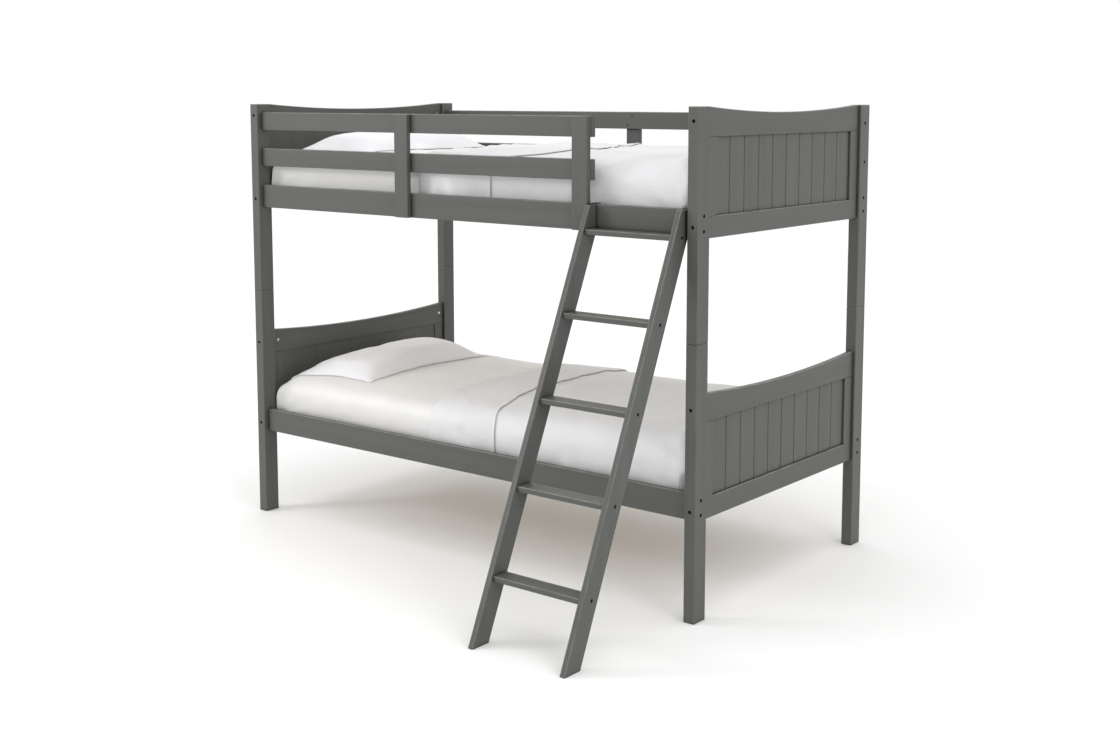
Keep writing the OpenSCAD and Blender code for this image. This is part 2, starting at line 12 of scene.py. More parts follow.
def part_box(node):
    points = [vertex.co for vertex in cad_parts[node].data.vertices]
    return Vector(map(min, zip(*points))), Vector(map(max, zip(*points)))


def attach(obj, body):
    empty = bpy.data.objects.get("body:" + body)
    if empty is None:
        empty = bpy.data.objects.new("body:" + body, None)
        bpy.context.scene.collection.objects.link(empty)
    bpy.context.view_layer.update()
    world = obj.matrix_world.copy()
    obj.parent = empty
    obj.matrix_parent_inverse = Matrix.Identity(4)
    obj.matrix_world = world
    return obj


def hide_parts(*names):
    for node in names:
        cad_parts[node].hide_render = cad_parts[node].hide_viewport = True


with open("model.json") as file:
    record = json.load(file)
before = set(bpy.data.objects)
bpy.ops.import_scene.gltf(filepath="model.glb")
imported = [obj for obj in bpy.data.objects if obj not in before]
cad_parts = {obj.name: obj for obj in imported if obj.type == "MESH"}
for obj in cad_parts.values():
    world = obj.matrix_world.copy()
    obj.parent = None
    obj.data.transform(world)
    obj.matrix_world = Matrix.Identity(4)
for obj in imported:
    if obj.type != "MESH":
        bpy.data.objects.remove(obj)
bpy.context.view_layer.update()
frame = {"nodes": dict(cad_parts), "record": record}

scene = bpy.context.scene
scene.view_settings.view_transform = "Standard"
scene.view_settings.look = "None"

MM = 0.001
TINY = 1e-9


# ---------------------------------------------------------------- node materials


class Shader:
    """A material and short ways to add its nodes."""

    def __init__(self, name):
        self.material = bpy.data.materials.new(name)
        self.material.use_nodes = True
        self.tree = self.material.node_tree
        self.tree.nodes.clear()
        self.out = self.add("ShaderNodeOutputMaterial")
        self.bsdf = self.add("ShaderNodeBsdfPrincipled")
        self.join(self.bsdf.outputs["BSDF"], self.out.inputs["Surface"])
        self.place = self.add("ShaderNodeTexCoord").outputs["Object"]

    def add(self, kind, **settings):
        node = self.tree.nodes.new(kind)
        for key, value in settings.items():
            setattr(node, key, value)
        return node

    def join(self, a, b):
        self.tree.links.new(a, b)

    def put(self, node, key, value):
        if hasattr(value, "is_linked"):
            self.join(value, node.inputs[key])
        else:
            node.inputs[key].default_value = value

    def scaled(self, scale, rotation=(0, 0, 0)):
        node = self.add("ShaderNodeMapping")
        self.join(self.place, node.inputs["Vector"])
        node.inputs["Scale"].default_value = scale
        node.inputs["Rotation"].default_value = rotation
        return node.outputs["Vector"]

    def noise(self, vector, scale=1.0, detail=3.0, rough=0.5, distortion=0.0):
        node = self.add("ShaderNodeTexNoise")
        self.join(vector, node.inputs["Vector"])
        self.put(node, "Scale", scale)
        self.put(node, "Detail", detail)
        self.put(node, "Roughness", rough)
        self.put(node, "Distortion", distortion)
        return node.outputs["Fac"]

    def wave(self, vector, scale, direction, distortion=0.0):
        node = self.add("ShaderNodeTexWave", wave_type="BANDS", bands_direction=direction)
        self.join(vector, node.inputs["Vector"])
        self.put(node, "Scale", scale)
        self.put(node, "Distortion", distortion)
        self.put(node, "Detail", 1.0)
        return node.outputs["Fac"]

    def math(self, operation, a, b):
        node = self.add("ShaderNodeMath", operation=operation)
        self.put(node, 0, a)
        self.put(node, 1, b)
        return node.outputs[0]

    def remap(self, value, low, high, to_low=0.0, to_high=1.0):
        """The range from low to high, stretched to the range from to_low to to_high."""
        node = self.add("ShaderNodeMapRange")
        self.put(node, "Value", value)
        ends = {"From Min": low, "From Max": high, "To Min": to_low, "To Max": to_high}
        for key, number in ends.items():
            self.put(node, key, number)
        return node.outputs["Result"]

    def blend(self, amount, first, second):
        """The first colour where the amount is 0, and the second where it is 1."""
        node = self.add("ShaderNodeMix", data_type="RGBA", blend_type="MIX")
        self.put(node, 0, amount)
        for index, value in ((6, first), (7, second)):
            if hasattr(value, "is_linked"):
                self.join(value, node.inputs[index])
            else:
                node.inputs[index].default_value = (*value, 1.0)
        return node.outputs[2]

    def bump(self, height, strength, distance, normal=None):
        node = self.add("ShaderNodeBump")
        self.put(node, "Height", height)
        self.put(node, "Strength", strength)
        self.put(node, "Distance", distance)
        if normal is not None:
            self.join(normal, node.inputs["Normal"])
        return node.outputs["Normal"]

    def edges(self, radius):
        """1 near sharp edges, 0 on flat faces."""
        bevel = self.add("ShaderNodeBevel", samples=4)
        self.put(bevel, "Radius", radius)
        true = self.add("ShaderNodeNewGeometry").outputs["Normal"]
        dot = self.add("ShaderNodeVectorMath", operation="DOT_PRODUCT")
        self.join(bevel.outputs["Normal"], dot.inputs[0])
        self.join(true, dot.inputs[1])
        return self.remap(dot.outputs["Value"], 0.995, 0.86)

    def painted_shade_mask(self, reach):
        """Mask for painted shade: 1 deep in grooves and narrow gaps, where shade falls, 0 on open faces.
        """
        node = self.add("ShaderNodeAmbientOcclusion", samples=6)
        self.put(node, "Distance", reach)
        return self.remap(node.outputs["AO"], 0.85, 0.42)

    def facing_up(self):
        """1 on surfaces that face up, 0 on upright ones."""
        parts = self.add("ShaderNodeSeparateXYZ")
        self.join(self.add("ShaderNodeNewGeometry").outputs["Normal"], parts.inputs[0])
        return self.remap(parts.outputs["Z"], 0.15, 0.6)

    def set(self, **sockets):
        """Sets the surface shader's sockets, and returns the material."""
        for key, value in sockets.items():
            name = key.replace("_", " ")
            if isinstance(value, tuple) and len(value) == 3:
                value = (*value, 1.0)
            self.put(self.bsdf, name, value)
        return self.material


def tone(level, tint=(1.0, 1.0, 1.0)):
    """Linear colour of a display grey level from 0 to 255, with a slight tint."""
    linear = ((level / 255 + 0.055) / 1.055) ** 2.4
    return tuple(linear * t for t in tint)


ACROSS = {"X": (0, 1, 1), "Y": (1, 0, 1), "Z": (1, 1, 0)}


def along(axis, length, width):
    """Texture scale that is stretched along one axis, so that grain follows a board."""
    return tuple(width if across else length for across in ACROSS[axis])


PAINT_TINT = (0.965, 1.0, 0.915)
PAINT_LIGHT = tone(87, PAINT_TINT)
PAINT_DARK = tone(80, PAINT_TINT)
PAINT_CLOUD = tone(90, PAINT_TINT)
# painted shade: a near-black grey laid into grooves, recesses and narrow gaps, where shade falls
PAINT_GROOVE_SHADE = tone(26, PAINT_TINT)  # in grooves and narrow gaps
# lighter along every edge: partly wear, partly a painted highlight
PAINT_WEAR_AND_HIGHLIGHT = tone(170, PAINT_TINT)  # along every edge
# painted highlight along edges that face up, where the light from above falls
PAINT_TOP_HIGHLIGHT = tone(205, PAINT_TINT)  # along edges that face up
WEAR_AND_HIGHLIGHT_WIDTH = 3.0 * MM
WEAR_AND_HIGHLIGHT_SHARE = 0.22
TOP_HIGHLIGHT_SHARE = 0.9
GROOVE_SHADE_REACH = 13 * MM
GROOVE_SHADE_SHARE = 0.9


def paint(axis):
    """Satin paint over wood whose grain runs along the axis, lighter along its edges from wear and a
    painted highlight, with a stronger painted highlight along edges that face up and painted shade in
    grooves and gaps.
    """
    s = Shader("painted_wood_" + axis.lower())
    streaks = s.noise(s.scaled(along(axis, 0.9, 26.0)), detail=4.0, rough=0.55, distortion=0.3)
    pores = s.noise(s.scaled(along(axis, 9.0, 620.0)), rough=0.6)
    clouds = s.noise(s.scaled((2.2, 2.2, 2.2)))
    spray = s.noise(s.scaled((1, 1, 1)), scale=1400.0, detail=2.0)
    # patches of the edge wear and the painted edge highlight
    wear_and_highlight_patches = s.remap(s.noise(s.scaled((14, 14, 14)), detail=5.0, rough=0.7), 0.36, 0.60, 0.25, 1.0)
    wear_and_highlight = s.math("MULTIPLY", s.edges(WEAR_AND_HIGHLIGHT_WIDTH), wear_and_highlight_patches)
    painted_top_highlight = s.math("MULTIPLY", wear_and_highlight, s.facing_up())
    base = s.blend(s.remap(streaks, 0.3, 0.7), PAINT_DARK, PAINT_LIGHT)
    base = s.blend(s.remap(clouds, 0.35, 0.7, 0.0, 0.35), base, PAINT_CLOUD)
    # wear and painted highlight along every edge
    base = s.blend(s.math("MULTIPLY", wear_and_highlight, WEAR_AND_HIGHLIGHT_SHARE), base, PAINT_WEAR_AND_HIGHLIGHT)
    # painted highlight along edges that face up
    base = s.blend(s.math("MULTIPLY", painted_top_highlight, TOP_HIGHLIGHT_SHARE), base, PAINT_TOP_HIGHLIGHT)
    # painted shade in grooves, recesses and narrow gaps
    base = s.blend(s.math("MULTIPLY", s.painted_shade_mask(GROOVE_SHADE_REACH), GROOVE_SHADE_SHARE), base, PAINT_GROOVE_SHADE)
    gloss = s.remap(clouds, 0.3, 0.7, 0.36, 0.45)
    rough = s.math("ADD", gloss, s.remap(pores, 0.3, 0.7, -0.03, 0.04))
    normal = s.bump(pores, 0.30, 0.25 * MM)
    normal = s.bump(streaks, 0.22, 0.9 * MM, normal)
    normal = s.bump(spray, 0.10, 0.10 * MM, normal)
    return s.set(Base_Color=base, Roughness=rough, Normal=normal, IOR=1.48, Specular_IOR_Level=0.3)


PINE_SAPWOOD = (0.72, 0.60, 0.44)
PINE_RINGS = (0.60, 0.47, 0.32)
PINE_PALE = (0.78, 0.67, 0.52)
PINE_FIBRES = (0.46, 0.34, 0.22)
PINE_KNOTS = (0.30, 0.18, 0.10)


def pine(axis):
    """Bare planed pine whose grain runs along the axis."""
    s = Shader("pine_" + axis.lower())
    spread = s.scaled(along(axis, 1.1, 16.0))
    bend = s.noise(spread, detail=2.0)
    turn = {"X": "Y", "Y": "X"}[axis]
    rings = s.wave(spread, 2.4, turn, distortion=7.0)
    fibres = s.noise(s.scaled(along(axis, 14.0, 900.0)), detail=4.0, rough=0.65)
    base = s.blend(s.remap(rings, 0.25, 0.85), PINE_SAPWOOD, PINE_RINGS)
    base = s.blend(s.remap(bend, 0.35, 0.75, 0.0, 0.5), base, PINE_PALE)
    base = s.blend(s.remap(fibres, 0.4, 0.75, 0.0, 0.35), base, PINE_FIBRES)
    knots = s.add("ShaderNodeTexVoronoi", feature="F1")
    s.join(s.scaled(along(axis, 3.1, 9.0)), knots.inputs["Vector"])
    s.put(knots, "Scale", 1.0)
    base = s.blend(s.remap(knots.outputs["Distance"], 0.13, 0.05), base, PINE_KNOTS)
    rough = s.remap(fibres, 0.3, 0.7, 0.55, 0.72)
    normal = s.bump(fibres, 0.5, 0.3 * MM)
    normal = s.bump(rings, 0.2, 0.3 * MM, normal)
    return s.set(Base_Color=base, Roughness=rough, Normal=normal, IOR=1.45)


def metal(name, light, dark, rough, metallic=1.0):
    """Brushed or coated steel with faint spots between a light and a dark colour."""
    s = Shader(name)
    spots = s.noise(s.scaled((1, 1, 1)), scale=420.0, detail=4.0, rough=0.65)
    brush = s.noise(s.scaled((160, 2200, 900)), detail=2.0)
    base = s.blend(s.remap(spots, 0.35, 0.7), light, dark)
    roughness = s.remap(brush, 0.3, 0.7, rough - 0.08, rough + 0.1)
    normal = s.bump(brush, 0.15, 0.05 * MM)
    s.bsdf.inputs["Metallic"].default_value = metallic
    return s.set(Base_Color=base, Roughness=roughness, Normal=normal)


THREADS_PER_M = 620.0
THREAD_SHADE = 0.72
SLUB_SHINE = 1.06


def cloth(name, light, shade, puckers):
    """Plain-weave cotton: crossed threads, slubs and soft creases."""
    s = Shader(name)
    plain = s.scaled((1, 1, 1))
    pitch = THREADS_PER_M / math.tau * 2.0
    threads = s.math("ADD", s.wave(plain, pitch, "X", 0.5), s.wave(plain, pitch, "Y", 0.5))
    threads = s.math("ADD", threads, s.wave(plain, pitch, "Z", 0.5))
    slubs = s.noise(s.scaled((40, 640, 640)), detail=2.0)
    soft = s.noise(s.scaled((3.0, 3.0, 3.0)), distortion=0.4)
    creases = s.noise(s.scaled((9.0, 15.0, 12.0)), detail=4.0, rough=0.55, distortion=0.6)
    base = s.blend(s.remap(soft, 0.35, 0.65), light, shade)
    gaps = tuple(THREAD_SHADE * c for c in shade)
    base = s.blend(s.remap(threads, 0.2, 0.9, 0.10, 0.0), base, gaps)
    thick = tuple(min(1.0, SLUB_SHINE * c) for c in light)
    base = s.blend(s.remap(slubs, 0.6, 0.8, 0.0, 0.12), base, thick)
    normal = s.bump(threads, 0.25, 0.25 * MM)
    normal = s.bump(creases, puckers, 5.0 * MM, normal)
    rough = s.remap(slubs, 0.3, 0.7, 0.78, 0.9)
    s.bsdf.inputs["Sheen Weight"].default_value = 0.12
    s.bsdf.inputs["Sheen Roughness"].default_value = 0.5
    return s.set(Base_Color=base, Roughness=rough, Normal=normal, IOR=1.4)


def ticking():
    """Mattress ticking, seen from under the slats: off-white, quilted in diamonds, with painted shade
    along the stitched lines.
    """
    s = Shader("mattress_ticking")
    turned = s.scaled((1, 1, 1), rotation=(0, 0, math.radians(45)))
    diamonds = s.math("MINIMUM", s.wave(turned, 2.2, "X"), s.wave(turned, 2.2, "Y"))
    weave = s.noise(s.scaled((300, 300, 300)))
    # darker along the stitched lines: painted shade in the quilting's dips
    stitch_line_shade, padded = (0.42, 0.41, 0.39), (0.66, 0.65, 0.62)
    base = s.blend(s.remap(diamonds, 0.0, 0.12), stitch_line_shade, padded)
    normal = s.bump(diamonds, 0.6, 5.0 * MM)
    normal = s.bump(weave, 0.3, 0.4 * MM, normal)
    return s.set(Base_Color=base, Roughness=s.remap(weave, 0.3, 0.7, 0.8, 0.95), Normal=normal)


def floor_material():
    """Pale matt studio floor."""
    s = Shader("studio_floor")
    mottle = s.noise(s.scaled((0.7, 0.7, 0.7)))
    fine = s.noise(s.scaled((60, 60, 60)))
    base = s.blend(mottle, (0.85, 0.85, 0.85), (0.87, 0.87, 0.87))
    return s.set(Base_Color=base, Roughness=s.remap(fine, 0.3, 0.7, 0.7, 0.8), Specular_IOR_Level=0.2)


PAINT = {axis: paint(axis) for axis in "XYZ"}
PINE = {axis: pine(axis) for axis in "XY"}
BOLT_STEEL = metal("dark_zinc_steel", (0.040, 0.040, 0.040), (0.020, 0.020, 0.020), 0.50)
NUT_STEEL = metal("bright_zinc_steel", (0.70, 0.70, 0.68), (0.52, 0.51, 0.48), 0.30)
HOOK_STEEL = metal("black_coated_steel", (0.05, 0.05, 0.05), (0.03, 0.03, 0.03), 0.5, metallic=0.0)
SHEET = cloth("sheet_cotton", tone(228, (1.0, 0.992, 0.98)), tone(224, (1.0, 0.988, 0.975)), 0.30)
QUILT = cloth("quilt_cotton", tone(221, (0.985, 0.985, 1.0)), tone(216, (0.98, 0.98, 1.0)), 0.55)
PILLOW = cloth("pillow_cotton", tone(238, (0.98, 0.975, 1.0)), tone(234, (0.975, 0.97, 1.0)), 0.28)
TICKING = ticking()

UPRIGHT_BOARDS = ("post", "stiles", "beadboard", "upright", "stringer")
STEEL = {"bolt_steel": BOLT_STEEL, "zinc_steel": NUT_STEEL, "hook_steel": HOOK_STEEL}


def grain_axis(node):
    """The way the grain runs in a CAD node's boards."""
    if any(word in node for word in UPRIGHT_BOARDS):
        return "Z"
    if "head_" in node or "foot_" in node or node.endswith("slats"):
        return "Y"
    return "X"


def finish(node, slot):
    """The material of a CAD node, or None for the soft ones, which pieces replace."""
    if slot == "grey_paint":
        return PAINT[grain_axis(node)]
    if slot == "pine":
        return PINE[grain_axis(node)]
    return STEEL.get(slot)


slots = {part["node"]: part["material_slot"] for part in frame["record"]["subparts"]}
for node, thing in frame["nodes"].items():
    material = finish(node, slots[node])
    if material is not None:
        thing.data.materials.clear()
        thing.data.materials.append(material)


# ---------------------------------------------------------------- mesh helpers


def make(name, points, faces, material, smooth=True):
    mesh = bpy.data.meshes.new(name)
    mesh.from_pydata([tuple(p) for p in points], [], faces)
    mesh.update()
    thing = bpy.data.objects.new(name, mesh)
    scene.collection.objects.link(thing)
    mesh.materials.append(material)
    for polygon in mesh.polygons:
        polygon.use_smooth = smooth
    return thing


def bake(piece):
    """Applies a piece's modifiers to its mesh."""
    shaped = piece.evaluated_get(bpy.context.evaluated_depsgraph_get())
    mesh = bpy.data.meshes.new_from_object(shaped)
    piece.modifiers.clear()
    old = piece.data
    piece.data = mesh
    bpy.data.meshes.remove(old)
    for polygon in mesh.polygons:
        polygon.use_smooth = True


def subdivide(piece):
    divide = piece.modifiers.new("Subdivision", "SUBSURF")
    divide.levels = divide.render_levels = 1


def spaced(stops, step, fine, rim):
    """Sorted numbers through the stops, about a step apart, and finer within a rim of either end."""
    low, high = stops[0], stops[-1]
    marks = [low, low + rim, *stops[1:-1], high - rim, high]
    out = [low]
    for a, b in zip(marks, marks[1:]):
        size = fine if a == low or b == high else step
        n = max(1, round((b - a) / size))
        out += [a + (b - a) * k / n for k in range(1, n + 1)]
    return out


def smoothstep(x):
    x = min(1.0, max(0.0, x))
    return x * x * (3 - 2 * x)


def core_point(p, low, high, radius):
    """The nearest point to p of a box drawn in by the radius."""
    return Vector([min(max(c, a + radius), b - radius) for c, a, b in zip(p, low, high)])


def rounded(p, low, high, radius):
    """Moves a point on a box to the same box with rounded edges."""
    core = core_point(p, low, high, radius)
    out = p - core
    return core + out.normalized() * radius if out.length > TINY else Vector(p)


def squared(q, low, high, radius, power):
    """Squares the plan of a rounded corner: a power of 2 keeps it round, more makes it fuller."""
    core = core_point(q, low, high, radius)
    dx, dy = q.x - core.x, q.y - core.y
    reach = math.hypot(dx, dy)
    if min(abs(dx), abs(dy)) < TINY:
        return q
    full = (abs(dx / reach) ** power + abs(dy / reach) ** power) ** (-1 / power)
    return Vector((core.x + dx * full, core.y + dy * full, q.z))


class Lattice:
    """The surface points of a box that is divided along X, Y and Z."""

    def __init__(self, xs, ys, zs):
        self.nx, self.ny, self.nz = len(xs) - 1, len(ys) - 1, len(zs) - 1
        self.index, self.points = {}, []
        for i, x in enumerate(xs):
            for j, y in enumerate(ys):
                for k, z in enumerate(zs):
                    if i in (0, self.nx) or j in (0, self.ny) or k in (0, self.nz):
                        self.index[i, j, k] = len(self.points)
                        self.points.append(Vector((x, y, z)))

    def point(self, i, j, k):
        return self.points[self.index[i, j, k]]

    def quads(self):
        nx, ny, nz = self.nx, self.ny, self.nz
        cells = []
        for i in range(nx):
            for j in range(ny):
                cells.append([(i, j, nz), (i + 1, j, nz), (i + 1, j + 1, nz), (i, j + 1, nz)])
                cells.append([(i, j, 0), (i, j + 1, 0), (i + 1, j + 1, 0), (i + 1, j, 0)])
            for k in range(nz):
                cells.append([(i, 0, k), (i + 1, 0, k), (i + 1, 0, k + 1), (i, 0, k + 1)])
                cells.append([(i, ny, k), (i, ny, k + 1), (i + 1, ny, k + 1), (i + 1, ny, k)])
        for j in range(ny):
            for k in range(nz):
                cells.append([(0, j, k), (0, j, k + 1), (0, j + 1, k + 1), (0, j + 1, k)])
                cells.append([(nx, j, k), (nx, j + 1, k), (nx, j + 1, k + 1), (nx, j, k + 1)])
        return [tuple(self.index[c] for c in cell) for cell in cells]


def simulate(thing, pressure, frames, cap, shrink, pinned=None, stiffness=12.0, bending=0.4):
    """Swells a closed piece as cloth under pressure, and keeps every point within the cap."""
    start = [v.co.copy() for v in thing.data.vertices]
    cloth_modifier = thing.modifiers.new("Cloth", "CLOTH")
    settings = cloth_modifier.settings
    settings.quality = 5
    settings.mass = 0.3
    settings.tension_stiffness = settings.compression_stiffness = stiffness
    settings.shear_stiffness = stiffness * 0.4
    settings.bending_stiffness = bending
    settings.use_pressure = True
    settings.uniform_pressure_force = pressure
    settings.shrink_min = shrink
    settings.effector_weights.gravity = 0
    if pinned:
        group = thing.vertex_groups.new(name="pinned")
        group.add(pinned, 1.0, "REPLACE")
        settings.vertex_group_mass = "pinned"
    cloth_modifier.point_cache.frame_start = 1
    cloth_modifier.point_cache.frame_end = frames
    for number in range(1, frames + 1):
        scene.frame_set(number)
    shaped = thing.evaluated_get(bpy.context.evaluated_depsgraph_get()).to_mesh()
    ends = [v.co.copy() for v in shaped.vertices]
    thing.modifiers.remove(cloth_modifier)
    thing.vertex_groups.clear()
    scene.frame_set(1)
    for vertex, a, b in zip(thing.data.vertices, start, ends):
        move = b - a
        if move.length > cap:
            move *= cap / move.length
        vertex.co = a + move
    thing.data.update()


def ripple(p, seed, scale):
    """Smooth waves from about -1 to 1. The scale is in waves a metre along X, Y and Z."""
    shift = (seed, -seed, 0.5 * seed)
    return noise.noise(Vector([c * s + d for c, s, d in zip(p, scale, shift)]))


def crease(p, seed, scale, sharp=5):
    """Thin raised creases, from 0 to 1."""
    return max(0.0, 1.0 - abs(ripple(p, seed, scale)) * 2.2) ** sharp


FAN_REACH = 0.30


def fan(p, corner, seed):
    """Tension creases that run up and away from a bottom corner, from 0 to 1."""
    away = p - corner
    angle = math.atan2(away.z, math.hypot(away.x, away.y))
    ridge = max(0.0, 1 - abs(noise.noise(Vector((angle * 4.0, seed, away.length * 1.5)))) * 3.0)
    fade = smoothstep((FAN_REACH - away.length) / (0.7 * FAN_REACH))
    return ridge**2 * smoothstep(away.length / 0.05) * fade


def hold_in(mesh, least, most):
    """Keeps a soft piece between the rails and the end panels."""
    for vertex in mesh.vertices:
        for axis in (0, 1):
            vertex.co[axis] = min(max(vertex.co[axis], least[axis]), most[axis])
    mesh.update()


# ---------------------------------------------------------------- the two beds

# seed: sets the creases apart from those of the other bed
# crown: how far the mattress's middle stands over its rim before it swells
# plateau: how far it stands over the CAD solid's top afterwards
# fold_x: where the quilt is turned back
# fold_bow: how far that line curves to the head past the front edge
# hem_front, hem_rear: where the turned-back hem lies on each side
# hem_swing: how far it curves to the foot on top
# rumple: how deep the creases in the quilt's top are
# pillow_move: the pillow's place against its CAD solid's
LOWER_BED = SimpleNamespace(
    level="lower",
    seed=3.0,
    crown=0.004,
    plateau=-0.001,
    fold_x=-0.147,
    fold_bow=0.024,
    hem_front=0.143,
    hem_rear=0.048,
    hem_swing=0.0,
    rumple=1.2,
    pillow_move=(-0.002, 0.003, 0.0),
)
UPPER_BED = SimpleNamespace(
    level="upper",
    seed=11.0,
    crown=0.002,
    plateau=-0.003,
    fold_x=-0.190,
    fold_bow=-0.030,
    hem_front=0.132,
    hem_rear=0.190,
    hem_swing=0.17,
    rumple=2.6,
    pillow_move=(0.010, 0.012, 0.0),
)


# ---------------------------------------------------------------- mattresses

SWELL_ROOM = 0.005  # the form starts this far inside its CAD box
SHEET_ROUND = 0.052
CROWN_ALONG, CROWN_ACROSS = 6, 2.6  # powers: the higher, the flatter the crown's middle
GRID_STEP, GRID_FINE, GRID_RIM = 0.0185, 0.0125, 0.0625
GRID_UP, GRID_UP_RIM = 0.016, 0.05
CORNER_PUSH, CORNER_REACH = 0.014, 0.085
SIDE_RECESS = 0.0100  # how far the sides draw in under the quilt, which leaves room for its folds
RAIL_GAP, HEAD_GAP, FOOT_SWELL = 0.0035, 0.001, 0.004
POST_OVERLAP, POST_GAP = 0.008, 0.0085  # where the mattress's head corners stand beside the posts
TICKING_RIM = 0.16

# how deep the sheet's waves and creases are
SIDE_WAVES, LOW_PUCKERS, SIDE_DRAW = 0.0034, 0.0036, 0.0030
TOP_WAVES, SHEET_CREASES, CORNER_FANS = 0.0030, 0.0022, 0.0060


def mattress_form(bed, low, high):
    """Mattress in its sheet, rounded, crowned and swelled by simulation, and its lattice."""
    a = Vector((low.x + SWELL_ROOM, low.y + SWELL_ROOM, low.z))
    b = Vector((high.x - SWELL_ROOM, high.y - SWELL_ROOM, high.z - SWELL_ROOM))
    lattice = Lattice(
        spaced([a.x, bed.fold_x, b.x], GRID_STEP, GRID_FINE, GRID_RIM),
        spaced([a.y, b.y], GRID_STEP, GRID_FINE, GRID_RIM),
        spaced([a.z, b.z], GRID_UP, GRID_FINE, GRID_UP_RIM),
    )
    centre = (a + b) / 2
    half = (b - a) / 2
    points = []
    for p in lattice.points:
        q = rounded(p, a, b, SHEET_ROUND)
        below_rim = smoothstep((b.z - 0.012 - q.z) / 0.06)
        q = squared(q, a, b, SHEET_ROUND, 2 + 4 * below_rim)
        u, v = (q.x - centre.x) / half.x, (q.y - centre.y) / half.y
        level_up = smoothstep((q.z - a.z) / (b.z - a.z) * 2 - 1)
        q.z += bed.crown * level_up * (1 - abs(v) ** CROWN_ACROSS) * (1 - abs(u) ** CROWN_ALONG)
        points.append(q)
    piece = make(bed.level + "_mattress_in_sheet", points, lattice.quads(), SHEET)
    bottom = [n for (i, j, k), n in lattice.index.items() if k == 0]
    simulate(piece, pressure=3.0, frames=16, cap=0.014, shrink=-0.012, pinned=bottom)

    def in_middle(p):
        return abs(p.x - centre.x) < 0.8 * half.x and abs(p.y - centre.y) < 0.7 * half.y

    mesh = piece.data
    flat_top = [v.co.z for v in mesh.vertices if v.normal.z > 0.95 and in_middle(v.co)]
    rise = high.z + bed.plateau - sum(flat_top) / len(flat_top)
    for vertex in mesh.vertices:
        vertex.co.z += rise * smoothstep((vertex.co.z - a.z) / (b.z - a.z))
    mesh.update()
    return piece, lattice, a, b


def crease_sheet(bed, mesh, a, b):
    """Creases the sheet, and fills the mattress's corners out."""
    centre = (a + b) / 2
    normals = [v.normal.copy() for v in mesh.vertices]
    for vertex, n in zip(mesh.vertices, normals):
        p = vertex.co
        side = 1 - abs(n.z)
        height = (p.z - a.z) / (b.z - a.z)
        down = 1 - height
        lift = side * ((0.5 + down) * SIDE_WAVES * ripple(p, bed.seed, (8, 8, 1.4)) - SIDE_DRAW)
        lift += side * down**2 * LOW_PUCKERS * ripple(p, bed.seed + 21, (26, 26, 5))
        lift += (1 - side) * TOP_WAVES * ripple(p, bed.seed + 7, (2.4, 2.8, 1))
        lift += SHEET_CREASES * crease(p, bed.seed + 3, (3.5, 8.5, 5.0))
        corner = Vector((a.x if p.x < centre.x else b.x, a.y if p.y < centre.y else b.y, a.z))
        lift += CORNER_FANS * fan(p, corner, bed.seed + 5)
        away = math.hypot(p.x - corner.x, p.y - corner.y)
        full = CORNER_PUSH * (1 - smoothstep(away / CORNER_REACH))
        full *= smoothstep(height / 0.3) * smoothstep((0.92 - height) / 0.35)
        out = Vector((math.copysign(1, corner.x - centre.x), math.copysign(1, corner.y - centre.y), 0))
        vertex.co = p + n * lift + out * full
    mesh.update()


def mattress_piece(bed):
    """Mattress in its fitted sheet, with ticking in the middle of its underside."""
    low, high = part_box(bed.level + "_mattress")
    piece, lattice, a, b = mattress_form(bed, low, high)
    centre = (a + b) / 2
    half = (b - a) / 2
    mesh = piece.data
    mesh.materials.append(TICKING)
    for polygon in mesh.polygons:
        c = polygon.center
        inside = max(abs(c.x - centre.x) - half.x, abs(c.y - centre.y) - half.y) < -TICKING_RIM
        if polygon.normal.z < -0.9 and inside:
            polygon.material_index = 1
    crease_sheet(bed, mesh, a, b)
    side = SWELL_ROOM - RAIL_GAP
    hold_in(mesh, low + Vector((HEAD_GAP, side, 0)), high + Vector((FOOT_SWELL, -side, 0)))
    for vertex in mesh.vertices:
        p = vertex.co
        if abs(p.y - centre.y) > half.y - POST_OVERLAP:
            p.x = max(p.x, low.x + POST_GAP)
    mesh.update()
    turns = [v.normal.y for v in mesh.vertices]
    for vertex, turn in zip(mesh.vertices, turns):
        under = smoothstep((vertex.co.x - bed.fold_x - 0.02) / 0.26)
        vertex.co.y -= math.copysign(SIDE_RECESS * smoothstep(abs(turn)) * under, turn)
    mesh.update()
    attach(piece, bed.level + "_bed")
    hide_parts(bed.level + "_mattress")
    return piece, lattice


# ---------------------------------------------------------------- quilts

CLOTH_THICK = 0.0045
FLAP_LIFT = 0.0066  # from the quilt's middle surface to that of the part turned back
FLAP_PUFF = 0.0016
FOLD_STEPS, FLAP_STEPS = 5, 17
HEM_CROWDING = 1.5  # above 1, the flap's rows close up towards the hem, where its stitching is
HEM_WANDER = 0.006
STITCH_DEPTH = 0.0012
# how far the quilt stands off the sheet: everywhere, more inside a rim of its top, and more past the fold
LOFT_LEAST, LOFT_TOP, LOFT_PAST_FOLD, LOFT_RIM = 0.0030, 0.008, 0.006, 0.10
SIDE_PROUD, FOOT_PROUD = 0.0018, 0.012  # how far the quilt may stand past its CAD solid
FOOT_GAP = 0.006  # from the quilt's foot drop to the end of its CAD solid

# how deep the quilt's waves, creases and side folds are
QUILT_WAVES, LONG_CREASES, CROSS_CREASES = 0.0034, 0.0030, 0.0022
SIDE_FOLDS, FLAP_SIDE_WAVES = 0.0062, 0.0010


